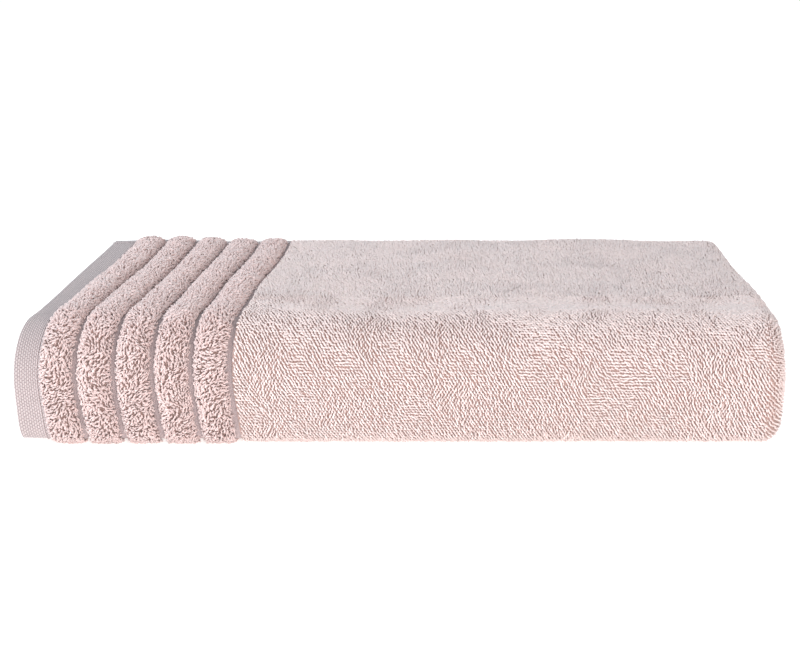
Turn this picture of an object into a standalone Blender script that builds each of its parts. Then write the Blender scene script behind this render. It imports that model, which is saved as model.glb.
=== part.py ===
"""A terry bath towel, folded in thirds along its length and then in thirds across its width.

Metres, +Z up. The origin is the middle of the packet's underside. X runs along the packet, from the
hemmed border (-X) to the closed lengthwise fold (+X), and the rolled front fold faces -Y.

The cloth is described by its depth, the distance inward from the packet's outer skin. Three plies
lie on each other after the lengthwise folds, and every strip of cloth keeps its place among them
while it runs along one route: back edge, top third, front fold, bottom third, back fold, tucked third.
"""
import math

import bpy
import bmesh

# The cloth, laid flat.
TOWEL_LENGTH = 1.300
TOWEL_WIDTH = 0.700
PLY = 0.0077
GAP = 0.0003

# The woven border at each end of the cloth.
END_HEM_WIDTH = 0.0165
END_HEM_SINK = 0.0035
RIB_COUNT = 5
RIB_PITCH = 0.0220
CHANNEL_WIDTH = 0.0028
RIB_RISE = 0.0030
GROUND_SINK = 0.0030
GROUND_CLEARANCE = 0.0017

# The selvage hem along both long sides of the cloth.
SIDE_HEM_WIDTH = 0.0110
SIDE_HEM_SINK = 0.0032
SIDE_HEM_CLEARANCE = 0.0011

# The folds.
LEFT_FOLD_INSET = 0.0040
HIDDEN_END_INSET = 0.0020
BACK_EDGE_INSET = 0.0060
FOLD_STEPS = 12
ROLL_STEPS = 10
BEAD_STEPS = 9

# The sewing threads and the blank care label.
THREAD = 0.0006
THREAD_INSET = 0.0016
LABEL_WIDTH = 0.0300
LABEL_THICKNESS = 0.0004
LABEL_SEWN = 0.0060
LABEL_DROP = 0.0190
LABEL_X = 0.1100

# The packet, worked out from the cloth.
LAYERS = 3 * PLY
BACK_RADIUS = LAYERS + GAP / 2
HEIGHT = 3 * LAYERS + 2 * GAP
FRONT_RADIUS = HEIGHT / 2
LENGTHWISE_ROLLS = math.pi * PLY * 1.5
PACKET_LENGTH = (
    TOWEL_LENGTH - LENGTHWISE_ROLLS + 6.5 * PLY + 2 * LEFT_FOLD_INSET + HIDDEN_END_INSET
) / 3
CROSSWISE_ROLLS = math.pi * (FRONT_RADIUS - LAYERS / 2) + math.pi * (BACK_RADIUS - LAYERS / 2)
BACK_EDGE_REACH = BACK_RADIUS - BACK_EDGE_INSET
# The tucked hem reaches into the eye of the front fold, as far as its own height allows.
EYE_RADIUS = FRONT_RADIUS - LAYERS
TUCKED_HALF_HEIGHT = LAYERS / 2 - SIDE_HEM_SINK
TUCKED_REACH = math.sqrt((EYE_RADIUS - 2 * GAP) ** 2 - TUCKED_HALF_HEIGHT ** 2)
FLAT_DEPTH = (TOWEL_WIDTH - CROSSWISE_ROLLS - BACK_EDGE_REACH - TUCKED_REACH) / 3

LEFT = -PACKET_LENGTH / 2
RIGHT_ROLL_X = PACKET_LENGTH / 2 - 1.5 * PLY
LEFT_ROLL_X = LEFT + LEFT_FOLD_INSET + PLY
HIDDEN_END_X = RIGHT_ROLL_X - HIDDEN_END_INSET
BORDER_WIDTH = END_HEM_WIDTH + RIB_COUNT * RIB_PITCH
RIB_WIDTH = RIB_PITCH - CHANNEL_WIDTH
SIDE_HEM_DEEP = PLY - SIDE_HEM_CLEARANCE

PACKET_DEPTH = FRONT_RADIUS + FLAT_DEPTH + BACK_RADIUS
FRONT_AXIS_Y = FRONT_RADIUS - PACKET_DEPTH / 2
BACK_AXIS_Y = FRONT_AXIS_Y + FLAT_DEPTH
BACK_EDGE_Y = BACK_AXIS_Y + BACK_EDGE_REACH
TUCKED_END_Y = FRONT_AXIS_Y - TUCKED_REACH
# The front fold's cloth runs on behind its eye as far as the tucked hem reaches into it.
SPLIT_Y = FRONT_AXIS_Y + TUCKED_REACH
# Turned back, the top third lies on the surface, and the inner ply of the fold spans the space between.
HINGE_Y = FRONT_AXIS_Y - math.pi * EYE_RADIUS / 2
HINGE_Z = (HEIGHT + RIB_RISE) / 2


def make_material(name, colour, roughness):
    material = bpy.data.materials.new(name)
    material.use_nodes = True
    shader = material.node_tree.nodes["Principled BSDF"]
    shader.inputs["Base Color"].default_value = (*colour, 1.0)
    shader.inputs["Roughness"].default_value = roughness
    shader.inputs["Metallic"].default_value = 0.0
    return material


def flat_stop(y, z, facing, rise):
    """A place on the route where the skin is level: facing is 1 on an upper face, -1 on a lower one."""
    return y, z, 0.0, -facing, rise


def round_stops(axis_y, axis_z, radius, first, last, rise_at):
    """Places on the route around a crosswise fold, at equal angles measured from +Y."""
    stops = []
    for step in range(FOLD_STEPS + 1):
        angle = math.radians(first + (last - first) * step / FOLD_STEPS)
        out_y, out_z = math.cos(angle), math.sin(angle)
        stops.append(
            (axis_y + radius * out_y, axis_z + radius * out_z, -out_y, -out_z, rise_at(angle))
        )
    return stops


def front_rise(angle):
    """How far a rib stands out on the front fold: nothing underneath, all of it from low on the front."""
    share = min(1.0, (math.radians(270) - angle) / math.radians(60))
    return share * share * (3 - 2 * share)


def back_rise(angle):
    """How far a rib stands out on the back fold, where the cloth above and below presses it flat."""
    return math.cos(angle) ** 2


def top_route(first_y, last_y):
    return [flat_stop(first_y, HEIGHT, 1, 1.0), flat_stop(last_y, HEIGHT, 1, 1.0)]


def front_route():
    around = round_stops(FRONT_AXIS_Y, FRONT_RADIUS, FRONT_RADIUS, 90, 270, front_rise)
    start = flat_stop(SPLIT_Y - GAP, HEIGHT, 1, 1.0)
    end = flat_stop(SPLIT_Y - GAP, 0.0, -1, 0.0)
    return [start] + around + [end]


def base_route(last_y):
    around = round_stops(BACK_AXIS_Y, BACK_RADIUS, BACK_RADIUS, -90, 90, back_rise)
    start = flat_stop(SPLIT_Y, 0.0, -1, 0.0)
    end = flat_stop(last_y, 2 * BACK_RADIUS, 1, 0.0)
    return [start] + around + [end]


def tucked_route(first_y, last_y):
    level = 2 * BACK_RADIUS
    return [flat_stop(first_y, level, 1, 0.0), flat_stop(last_y, level, 1, 0.0)]


def sweep(name, section, route, material):
    """Carry a closed section of (x, depth) points along a route and close both ends."""
    shape = bmesh.new()
    rings = []
    for y, z, inward_y, inward_z, rise in route:
        ring = []
        for x, depth in section:
            held = depth if depth > 0 else depth * rise
            ring.append(shape.verts.new((x, y + held * inward_y, z + held * inward_z)))
        rings.append(ring)
    count = len(section)
    for ring, following in zip(rings, rings[1:]):
        for i in range(count):
            j = (i + 1) % count
            shape.faces.new((ring[i], ring[j], following[j], following[i]))
    shape.faces.new(rings[0])
    shape.faces.new(rings[-1])
    return finish(name, shape, material)


def finish(name, shape, material):
    bmesh.ops.recalc_face_normals(shape, faces=shape.faces)
    bmesh.ops.triangulate(shape, faces=shape.faces, quad_method="FIXED", ngon_method="EAR_CLIP")
    mesh = bpy.data.meshes.new(name)
    shape.to_mesh(mesh)
    shape.free()
    mesh.shade_smooth()
    mesh.set_sharp_from_angle(angle=math.radians(35))
    mesh.materials.append(material)
    piece = bpy.data.objects.new(name, mesh)
    bpy.context.scene.collection.objects.link(piece)
    return piece


def box_section(left, right, shallow, deep):
    return [(left, shallow), (right, shallow), (right, deep), (left, deep)]


def roll_points(axis_x, axis_depth, radius, first, last):
    """Points around a lengthwise fold, with angles from +X towards greater depth."""
    points = []
    for step in range(ROLL_STEPS + 1):
        angle = math.radians(first + (last - first) * step / ROLL_STEPS)
        points.append((axis_x + radius * math.cos(angle), axis_depth + radius * math.sin(angle)))
    return points


def letter_section(start_x, end_x, shallow, deep):
    """A strip that runs through all three plies: outer ply, right fold, inner ply, left fold, middle ply.

    It starts at start_x in the outer ply and ends at end_x in the middle one, and it fills each ply
    from shallow to deep, both measured from the cloth's face.
    """
    right_axis, left_axis = 1.5 * PLY, 2 * PLY
    face = [(start_x, shallow)]
    face += roll_points(RIGHT_ROLL_X, right_axis, right_axis - shallow, -90, 90)
    face += roll_points(LEFT_ROLL_X, left_axis, PLY - shallow, 90, 270)
    face += [(end_x, PLY + shallow)]
    back = [(end_x, PLY + deep)]
    back += roll_points(LEFT_ROLL_X, left_axis, PLY - deep, 270, 90)
    back += roll_points(RIGHT_ROLL_X, right_axis, right_axis - deep, 90, -90)
    back += [(start_x, deep)]
    return face + back


def bead_section(centre, width, crest, foot):
    """A rib of pile: flat where it is woven in at its foot, and round over its crest."""
    points = []
    for step in range(BEAD_STEPS + 1):
        angle = math.pi * step / BEAD_STEPS
        x = centre - width / 2 * math.cos(angle)
        points.append((x, foot - (foot - crest) * math.sin(angle) ** 0.6))
    return points


def corrugated_section(left, ply_start):
    """The hidden border, woven like the visible one but pressed flat inside the packet."""
    crest, valley = ply_start, ply_start + GROUND_SINK
    deep = ply_start + PLY - GAP
    side = CHANNEL_WIDTH / 2
    points = [(left, valley)]
    for rib in range(RIB_COUNT):
        rib_left = left + CHANNEL_WIDTH / 2 + rib * RIB_PITCH
        points.append((rib_left, valley))
        points.append((rib_left + side, crest))
        points.append((rib_left + RIB_WIDTH - side, crest))
        points.append((rib_left + RIB_WIDTH, valley))
    right = left + RIB_COUNT * RIB_PITCH - GAP
    points.append((right, valley))
    return points + [(right, deep), (left, deep)]


def cloth_routes():
    """The three stretches of cloth between the side hems."""
    return {
        "top": top_route(BACK_EDGE_Y - SIDE_HEM_WIDTH, SPLIT_Y),
        "front": front_route(),
        "base": base_route(TUCKED_END_Y + SIDE_HEM_WIDTH),
    }


def build_fields(terry):
    shape = letter_section(LEFT + BORDER_WIDTH, HIDDEN_END_X - BORDER_WIDTH - GAP, 0.0, PLY - GAP)
    for place, route in cloth_routes().items():
        sweep(f"terry_field_{place}", shape, route, terry)


def build_visible_border(woven, pile, hem):
    ground_left = LEFT + END_HEM_WIDTH
    ground_right = LEFT + BORDER_WIDTH - GAP
    ground = box_section(ground_left, ground_right, GROUND_SINK, PLY - GROUND_CLEARANCE)
    end_hem = box_section(LEFT, ground_left - GAP, END_HEM_SINK, PLY - GAP)
    for place, route in cloth_routes().items():
        sweep(f"border_ground_{place}", ground, route, woven)
        sweep(f"end_hem_{place}", end_hem, route, hem)
        for rib in range(RIB_COUNT):
            centre = ground_left + (rib + 0.5) * RIB_PITCH
            bead = bead_section(centre, RIB_WIDTH, -RIB_RISE, GROUND_SINK - GAP)
            sweep(f"pile_rib_{rib + 1}_{place}", bead, route, pile)


def build_hidden_border(woven, hem):
    """The other end of the cloth, tucked between the outer and the inner ply."""
    hem_left = HIDDEN_END_X - END_HEM_WIDTH
    ribbed = corrugated_section(HIDDEN_END_X - BORDER_WIDTH, PLY)
    end_hem = box_section(hem_left, HIDDEN_END_X, PLY + END_HEM_SINK, 2 * PLY - GAP)
    for place, route in cloth_routes().items():
        sweep(f"hidden_border_{place}", ribbed, route, woven)
        sweep(f"hidden_end_hem_{place}", end_hem, route, hem)


def build_side_hems(hem):
    shape = letter_section(LEFT, HIDDEN_END_X, SIDE_HEM_SINK, SIDE_HEM_DEEP)
    reach = SIDE_HEM_WIDTH - GAP
    sweep("side_hem_back_edge", shape, top_route(BACK_EDGE_Y, BACK_EDGE_Y - reach), hem)
    sweep("side_hem_tucked", shape, tucked_route(TUCKED_END_Y + reach, TUCKED_END_Y), hem)


def build_stitching(thread):
    seam_x = LEFT + END_HEM_WIDTH - THREAD_INSET
    above_hem = END_HEM_SINK - GAP
    end_seam = box_section(seam_x - THREAD, seam_x, above_hem - THREAD, above_hem)
    for place, route in cloth_routes().items():
        sweep(f"end_hem_stitching_{place}", end_seam, route, thread)

    above_side = SIDE_HEM_SINK - GAP
    side_seam = box_section(LEFT + THREAD_INSET, RIGHT_ROLL_X, above_side - THREAD, above_side)
    back_seam_y = BACK_EDGE_Y - SIDE_HEM_WIDTH + GAP + THREAD_INSET
    tucked_seam_y = TUCKED_END_Y + SIDE_HEM_WIDTH - GAP - THREAD_INSET
    back_seam = top_route(back_seam_y + THREAD, back_seam_y)
    tucked_seam = tucked_route(tucked_seam_y, tucked_seam_y - THREAD)
    sweep("side_hem_stitching_back_edge", side_seam, back_seam, thread)
    sweep("side_hem_stitching_tucked", side_seam, tucked_seam, thread)


def build_label(tape):
    """A blank tape sewn under the back edge's hem, hanging down behind the packet."""
    under_hem = SIDE_HEM_DEEP + GAP
    hang_y = BACK_EDGE_Y + GAP
    top_z = HEIGHT - under_hem
    outline = [
        (BACK_EDGE_Y - LABEL_SEWN, top_z),
        (hang_y + LABEL_THICKNESS, top_z),
        (hang_y + LABEL_THICKNESS, top_z - LABEL_DROP),
        (hang_y, top_z - LABEL_DROP),
        (hang_y, top_z - LABEL_THICKNESS),
        (BACK_EDGE_Y - LABEL_SEWN, top_z - LABEL_THICKNESS),
    ]
    shape = bmesh.new()
    near = [shape.verts.new((LABEL_X - LABEL_WIDTH / 2, y, z)) for y, z in outline]
    far = [shape.verts.new((LABEL_X + LABEL_WIDTH / 2, y, z)) for y, z in outline]
    for i in range(len(outline)):
        j = (i + 1) % len(outline)
        shape.faces.new((near[i], near[j], far[j], far[i]))
    shape.faces.new(near)
    shape.faces.new(far)
    return finish("care_label", shape, tape)


def build_hinge():
    """The line that the top third turns about, with the top third's pieces parented to it."""
    hinge = bpy.data.objects.new("top_third_hinge", None)
    hinge.location = (0.0, HINGE_Y, HINGE_Z)
    bpy.context.scene.collection.objects.link(hinge)
    bpy.context.view_layer.update()
    for piece in bpy.data.objects:
        moves = piece.name.endswith(("_top", "_back_edge")) or piece.name == "care_label"
        if piece.type == "MESH" and moves:
            piece.parent = hinge
            piece.matrix_parent_inverse = hinge.matrix_world.inverted()


def main():
    for old in list(bpy.data.objects):
        bpy.data.objects.remove(old, do_unlink=True)
    terry = make_material("blush_terry", (0.72, 0.55, 0.52), 0.95)
    pile = make_material("blush_rib_pile", (0.70, 0.51, 0.48), 0.95)
    woven = make_material("blush_woven_ground", (0.66, 0.50, 0.49), 0.85)
    hem = make_material("blush_woven_hem", (0.69, 0.56, 0.56), 0.80)
    thread = make_material("blush_thread", (0.74, 0.60, 0.58), 0.60)
    tape = make_material("white_label_tape", (0.85, 0.84, 0.82), 0.55)
    build_fields(terry)
    build_visible_border(woven, pile, hem)
    build_hidden_border(woven, hem)
    build_side_hems(hem)
    build_stitching(thread)
    build_label(tape)
    build_hinge()


main()
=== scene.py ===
import math
from functools import partial

import bpy
import numpy as np
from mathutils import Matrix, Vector


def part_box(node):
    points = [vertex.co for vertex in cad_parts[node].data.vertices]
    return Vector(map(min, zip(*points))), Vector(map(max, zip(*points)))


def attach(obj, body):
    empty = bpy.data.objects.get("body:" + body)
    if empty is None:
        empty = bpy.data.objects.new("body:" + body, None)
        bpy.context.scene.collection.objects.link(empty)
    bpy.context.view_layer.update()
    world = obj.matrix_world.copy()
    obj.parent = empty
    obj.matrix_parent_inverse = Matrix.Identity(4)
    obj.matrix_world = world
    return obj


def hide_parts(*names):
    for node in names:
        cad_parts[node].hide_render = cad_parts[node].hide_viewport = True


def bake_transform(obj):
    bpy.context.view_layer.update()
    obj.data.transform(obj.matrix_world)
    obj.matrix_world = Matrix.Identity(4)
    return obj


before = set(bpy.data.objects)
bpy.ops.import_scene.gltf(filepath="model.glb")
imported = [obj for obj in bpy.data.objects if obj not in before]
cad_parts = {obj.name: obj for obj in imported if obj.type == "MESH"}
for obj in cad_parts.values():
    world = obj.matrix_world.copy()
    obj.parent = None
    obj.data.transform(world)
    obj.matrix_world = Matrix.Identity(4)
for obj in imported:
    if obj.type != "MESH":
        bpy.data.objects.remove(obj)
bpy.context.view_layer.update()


def addObject(name, data):
    thing = bpy.data.objects.new(name, data)
    bpy.context.scene.collection.objects.link(thing)
    return thing


# the packet, as the frame gives it
def readPacket():
    fieldLow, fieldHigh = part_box("terry_field_top")
    hemLow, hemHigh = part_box("end_hem_top")
    groundLow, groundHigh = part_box("border_ground_top")
    backHemLow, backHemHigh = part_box("side_hem_back_edge")
    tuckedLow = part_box("side_hem_tucked")[0]
    ply = (fieldHigh.z - fieldLow.z) / 3
    height = fieldHigh.z
    left, rightRoll = hemLow.x, fieldHigh.x - 1.5 * ply
    leftRoll = fieldLow.x + ply
    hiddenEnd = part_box("hidden_end_hem_top")[1].x
    rightRollStart = rightRoll - left
    innerStart = rightRollStart + math.pi * ply
    leftRollStart = innerStart + rightRoll - leftRoll
    middleStart = leftRollStart + math.pi * ply / 2
    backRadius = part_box("terry_field_base")[1].z / 2
    ribs = [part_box(f"pile_rib_{k}_top") for k in range(1, 6)]
    return {
        "ply": ply,
        "height": height,
        "left": left,
        "rightRoll": rightRoll,
        "leftRoll": leftRoll,
        "rightRollStart": rightRollStart,
        "innerStart": innerStart,
        "leftRollStart": leftRollStart,
        "middleStart": middleStart,
        "length": middleStart + hiddenEnd - leftRoll,
        "hemWidth": groundLow.x - left,
        "hemSink": height - hemHigh.z,
        "groundSink": height - groundHigh.z,
        "fieldStart": groundHigh.x - left,
        "ribCentres": [(low.x + high.x) / 2 - left for low, high in ribs],
        "ribWidth": ribs[0][1].x - ribs[0][0].x,
        "ribCrest": height - ribs[0][1].z,
        "frontY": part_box("terry_field_front")[0].y,
        "backAxisY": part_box("terry_field_base")[1].y - backRadius,
        "backRadius": backRadius,
        "backEdgeY": backHemHigh.y,
        "tuckedEdgeY": tuckedLow.y,
        "sideHemWidth": backHemHigh.y - backHemLow.y,
        "sideHemSink": height - backHemHigh.z,
    }


packet = readPacket()

shape = {
    "crownReach": 0.0440,  # how far behind the front the upper side of the fold starts to drop
    "heelReach": 0.0130,  # how far behind the front the fold meets the floor
    "heelSquare": 2.9,  # two is an ellipse, more squares off the lower corner of the fold
    "heelRest": 0.0180,  # length of floor over which the inner plies catch up with the outer one
    "lean": 0.0034,  # the border slants this far off square at its front and at its back
    "leanAt": 0.12,  # how far in front of and behind the middle that is
    "leanBow": 0.0018,
    "leanBowFrom": 0.117,  # the bow's back end, and its span forward from there
    "leanBowSpan": 0.13,
    "leanIn": 0.03,  # the lean grows over this much cloth from the hem's edge
    "leanOut": (0.11, 0.2),  # where it starts to fade into the plain field, and over how much
    "endBow": 0.0026,  # the closed right end bows out this far behind the crown
    "endBowFrom": 0.04,
    "endBowSpan": 0.166,
    "endBowReach": 0.1,
    "bowHeight": 0.05,  # lean and bow are nothing at the floor and full from this height
    "terryFace": 0.0014,  # depth of the woven ground under the loops
    "hemBack": 0.0005,
    "groundBack": 0.0017,
    "sideHemBack": 0.0011,
    "ease": 0.0016,  # length over which one depth turns into another
    "edgeRound": 0.0012,
    "tuckedPull": 0.0045,  # the tucked edge stops short of the inside of the front fold
    "seamY": 0.0600,  # where the wrapped cloth hands over to the cloth underneath
    "routeStep": 0.0008,
    "routeSmooth": 4,  # steps either side over which the way inward is averaged
    "swell": 0.0007,  # height of the stack's slight unevenness
    "swellFoot": 0.03,
    "crownFill": 0.0034,
    "crownBehind": 0.080,  # how far that starts before the foremost line, and ends past it
    "crownPast": 0.002,
    "hemFill": 0.4,  # share of it at the hem
    "hemFillFrom": 0.03,  # where the share starts to grow, and over how much it becomes whole
    "hemFillSpan": 0.12,
    "settle": 0.5,  # share of the border's sink that goes where it nears the floor
    "settleHeight": 0.024,
    "lastChannel": 0.0016,  # the flat ground shows this much further past the last rib
}
packet["fieldStart"] += shape["lastChannel"]


def smooth(value):
    value = np.clip(value, 0.0, 1.0)
    return value * value * (3 - 2 * value)


def layLengthwise(along, depth):
    # along runs from the visible hem's edge through all three plies, depth goes in from the cloth's face
    along, depth = np.broadcast_arrays(np.asarray(along, float), np.asarray(depth, float))
    t = packet["ply"]
    x, inward = packet["left"] + along, depth.copy()
    turn = -math.pi / 2 + (along - packet["rightRollStart"]) / t
    part = along > packet["rightRollStart"]
    x = np.where(part, packet["rightRoll"] + (1.5 * t - depth) * np.cos(turn), x)
    inward = np.where(part, 1.5 * t + (1.5 * t - depth) * np.sin(turn), inward)
    part = along > packet["innerStart"]
    x = np.where(part, packet["rightRoll"] - (along - packet["innerStart"]), x)
    inward = np.where(part, 3 * t - depth, inward)
    turn = math.pi / 2 + (along - packet["leftRollStart"]) / (t / 2)
    part = along > packet["leftRollStart"]
    x = np.where(part, packet["leftRoll"] + (t - depth) * np.cos(turn), x)
    inward = np.where(part, 2 * t + (t - depth) * np.sin(turn), inward)
    part = along > packet["middleStart"]
    x = np.where(part, packet["leftRoll"] + along - packet["middleStart"], x)
    inward = np.where(part, t + depth, inward)
    return x, inward


def corner(axis, reach, first, last, power=2.0, count=70):
    turns = np.radians(np.linspace(first, last, count))
    across, up = np.cos(turns), np.sin(turns)
    y = axis[0] + reach[0] * np.sign(across) * np.abs(across) ** (2 / power)
    return np.stack([y, axis[1] + reach[1] * np.sign(up) * np.abs(up) ** (2 / power)], axis=-1)


def evenly(points, count):
    length = np.r_[0.0, np.cumsum(np.linalg.norm(np.diff(points, axis=0), axis=1))]
    even = np.linspace(0.0, length[-1], count)
    return np.stack([np.interp(even, length, points[:, 0]), np.interp(even, length, points[:, 1])], axis=-1)


def traceRoute(outer, inner):
    # the outer path of (y, z) points by its length, and at each of them the way to the third ply's inside
    steps = np.linalg.norm(np.diff(outer, axis=0), axis=1)
    apart = steps > 1e-7
    keep = np.r_[True, apart]
    outer, inner, steps = outer[keep], inner[keep], steps[apart]
    length = np.r_[0.0, np.cumsum(steps)]
    even = np.linspace(0.0, length[-1], int(length[-1] / shape["routeStep"]))
    halfway = np.diff((outer + inner) / 2, axis=0)
    route = {"s": even, "length": even[-1], "flat": float(np.linalg.norm(halfway, axis=1).sum())}
    for key, values in (("y", outer[:, 0]), ("z", outer[:, 1])):
        route[key] = np.interp(even, length, values)
    inward = (inner - outer) / (3 * packet["ply"])
    either = shape["routeSmooth"]
    window = np.ones(2 * either + 1) / (2 * either + 1)
    for key, values in (("inY", inward[:, 0]), ("inZ", inward[:, 1])):
        column = np.pad(np.interp(even, length, values), either, mode="edge")
        route[key] = np.convolve(column, window, mode="valid")
    return route


def wrapRoute():
    # from the back edge over the top, round the front and a little way underneath
    front, height, stack = packet["frontY"], packet["height"], 3 * packet["ply"]
    half, crown, heel = height / 2, front + shape["crownReach"], front + shape["heelReach"]
    rest = heel + shape["heelRest"]
    start, end = packet["backEdgeY"], shape["seamY"]
    outer = [[(start, height)], corner((crown, half), (shape["crownReach"], half), 90, 180)]
    lower = corner((heel, half), (shape["heelReach"], half), 180, 270, shape["heelSquare"])
    outer += [evenly(np.concatenate([lower, [(rest, 0.0)]]), 90), [(end, 0.0)]]
    eye = half - stack
    inner = [[(start, height - stack)], corner((crown, half), (shape["crownReach"] - stack, eye), 90, 180)]
    inner += [evenly(corner((rest, half), (rest - front - stack, eye), 180, 270), 90), [(end, stack)]]
    return traceRoute(np.concatenate(outer), np.concatenate(inner))


def baseRoute():
    # from the seam underneath, round the back and forward between the other two thirds
    radius, axis, stack = packet["backRadius"], packet["backAxisY"], 3 * packet["ply"]
    start, end = shape["seamY"], packet["tuckedEdgeY"] + shape["tuckedPull"]
    outer = [[(start, 0.0)], corner((axis, radius), (radius, radius), -90, 90), [(end, 2 * radius)]]
    tight = radius - stack
    inner = [[(start, stack)], corner((axis, radius), (tight, tight), -90, 90), [(end, 2 * radius - stack)]]
    return traceRoute(np.concatenate(outer), np.concatenate(inner))


def swell(x, y, z):
    # the slight unevenness of a folded stack in crossing waves, so many radians a metre, never underneath
    wave = np.sin(x * 31 + 1.3) * np.sin(y * 27 + x * 9 + 0.4) + 0.6 * np.sin(x * 63 + y * 41 + 2.1)
    return shape["swell"] * wave * smooth(z / shape["swellFoot"])


def borderLean(along, y):
    straight = shape["lean"] * y / shape["leanAt"]
    share = np.clip((shape["leanBowFrom"] - y) / shape["leanBowSpan"], 0, 1)
    bow = shape["leanBow"] * np.sin(math.pi * share)
    fades, over = shape["leanOut"]
    return (straight + bow) * smooth(along / shape["leanIn"]) * (1 - smooth((along - fades) / over))


def endBow(x, y):
    share = np.clip((shape["endBowFrom"] - y) / shape["endBowSpan"], 0, 1)
    reach = shape["endBowReach"]
    return shape["endBow"] * np.sin(math.pi * share) ** 2 * smooth((x - packet["rightRoll"] + reach) / reach)


def crownFill(route, s):
    # the upper corner of the front fold stands fuller away from the hem
    share = (s - route["crownStart"]) / (route["crownEnd"] - route["crownStart"])
    return shape["crownFill"] * np.sin(math.pi * np.clip(share, 0, 1)) ** 2


def place(route, along, s, depth):
    along, s, depth = np.broadcast_arrays(along, s, depth)
    x, inward = layLengthwise(along, depth)
    y, z = np.interp(s, route["s"], route["y"]), np.interp(s, route["s"], route["z"])
    inY, inZ = np.interp(s, route["s"], route["inY"]), np.interp(s, route["s"], route["inZ"])
    outer = 1 - np.clip(inward / (3 * packet["ply"]), 0, 1)
    fromHem = smooth((x - packet["left"] - shape["hemFillFrom"]) / shape["hemFillSpan"])
    share = shape["hemFill"] + (1 - shape["hemFill"]) * fromHem
    fuller = crownFill(route, s) * share
    inward = inward - route["swell"] * (swell(x, y, z) + fuller) * outer
    sideways = borderLean(along, y) + endBow(x, y)
    x = x + route["swell"] * sideways * smooth(z / shape["bowHeight"]) * outer
    return np.stack([x, y + inward * inY, z + inward * inZ], axis=-1)


def framesOn(surface, a, b):
    # points of surface(a, b) with their outward normals and the direction of growing a
    nudge = 1e-4
    at = surface(a, b)
    weft = (surface(a + nudge, b) - surface(a - nudge, b)) / 2
    warp = (surface(a, b + nudge) - surface(a, b - nudge)) / 2
    facing = np.cross(warp, weft)
    facing /= np.linalg.norm(facing, axis=-1, keepdims=True)
    weft /= np.linalg.norm(weft, axis=-1, keepdims=True)
    return at, facing, weft


# depth of the cloth's two faces, by place on the flat towel
def between(value, low, high):
    ease = shape["ease"]
    return smooth((value - low) / ease + 0.5) * (1 - smooth((value - high) / ease + 0.5))


def borderShares(along):
    # how much a place belongs to an end hem and to a border's flat ground, at either end of the cloth
    end = packet["length"] - along
    hem = between(along, -1, packet["hemWidth"]) + between(end, -1, packet["hemWidth"])
    ground = between(along, packet["hemWidth"], packet["fieldStart"])
    ground = ground + between(end, packet["hemWidth"], packet["fieldStart"])
    return hem, ground


def settled(route, s):
    # the thin border drops towards the floor where the packet rests on it
    return 1 - shape["settle"] * (1 - smooth(np.interp(s, route["s"], route["z"]) / shape["settleHeight"]))


def clothDepths(route, along, s, selvage):
    hem, ground = borderShares(along)
    down = settled(route, s)
    terry = shape["terryFace"] * (1 - hem - ground)
    face = terry + packet["hemSink"] * hem * down + packet["groundSink"] * ground * down
    back = terry + shape["hemBack"] * hem + shape["groundBack"] * ground
    side = selvage(s)
    face = face * (1 - side) + np.maximum(face, packet["sideHemSink"]) * side
    back = back * (1 - side) + shape["sideHemBack"] * side
    toEdge = np.minimum(np.minimum(along, packet["length"] - along), edgeDistance(route, s))
    rounded = shape["edgeRound"] * (1 - np.clip(toEdge / shape["edgeRound"], 0, 1)) ** 2
    return face + rounded, packet["ply"] - back - rounded


def edgeDistance(route, s):
    return np.where(route["freeEnd"] == "start", s, route["length"] - s)


def selvageAt(route):
    width = packet["sideHemWidth"]
    return lambda s: 1 - smooth((edgeDistance(route, s) - width) / shape["ease"] + 0.5)


cut = {
    "pastBorder": 0.002,  # the fine steps go this far past the border
    "border": 0.0011,
    "hiddenBorder": 0.0022,
    "outer": 44,  # rows over each plain length and each turn
    "rightTurn": 17,
    "inner": 44,
    "leftTurn": 13,
    "middle": 30,
    "edge": (0.0, 0.0003, 0.0006),
    "hemStep": 0.0012,
    "foldStep": 0.0028,
    "flatStep": 0.006,
    "folding": 0.02,  # the turn over "lookAhead" that counts as a fold
    "lookAhead": 0.002,
    "pastHem": 0.003,
}


def alongSamples():
    border = packet["fieldStart"] + cut["pastBorder"]
    fine = np.arange(0.0, border, cut["border"])
    outer = np.linspace(border, packet["rightRollStart"], cut["outer"])
    right = np.linspace(packet["rightRollStart"], packet["innerStart"], cut["rightTurn"])
    inner = np.linspace(packet["innerStart"], packet["leftRollStart"], cut["inner"])
    leftTurn = np.linspace(packet["leftRollStart"], packet["middleStart"], cut["leftTurn"])
    middle = np.linspace(packet["middleStart"], packet["length"] - border, cut["middle"])
    hidden = packet["length"] - np.arange(0.0, border, cut["hiddenBorder"])[::-1]
    pieces = [cut["edge"], fine, outer, right, inner, leftTurn, middle, hidden]
    return np.unique(np.round(np.concatenate(pieces), 6))


def routeSamples(route, coarse):
    # close together at the free edge and round the folds
    s, samples = 0.0, [0.0]
    while s < route["length"] - 1e-6:
        ahead, here = np.interp((s + cut["lookAhead"], s), route["s"], route["inZ"])
        near = edgeDistance(route, np.array(s)) < packet["sideHemWidth"] + cut["pastHem"]
        step = cut["hemStep"] if near else cut["foldStep"] if abs(ahead - here) > cut["folding"] else coarse
        s = min(s + step, route["length"])
        samples.append(s)
    return np.array(samples)


def ringQuads(rows, columns):
    # the sides of a tube of closed rings, one ring's points after another's
    row, column = np.meshgrid(np.arange(rows - 1), np.arange(columns), indexing="ij")
    row, column = row.ravel(), column.ravel()
    following = (column + 1) % columns
    return np.stack(
        [row * columns + column, (row + 1) * columns + column, (row + 1) * columns + following,
         row * columns + following], axis=-1,
    )


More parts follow.
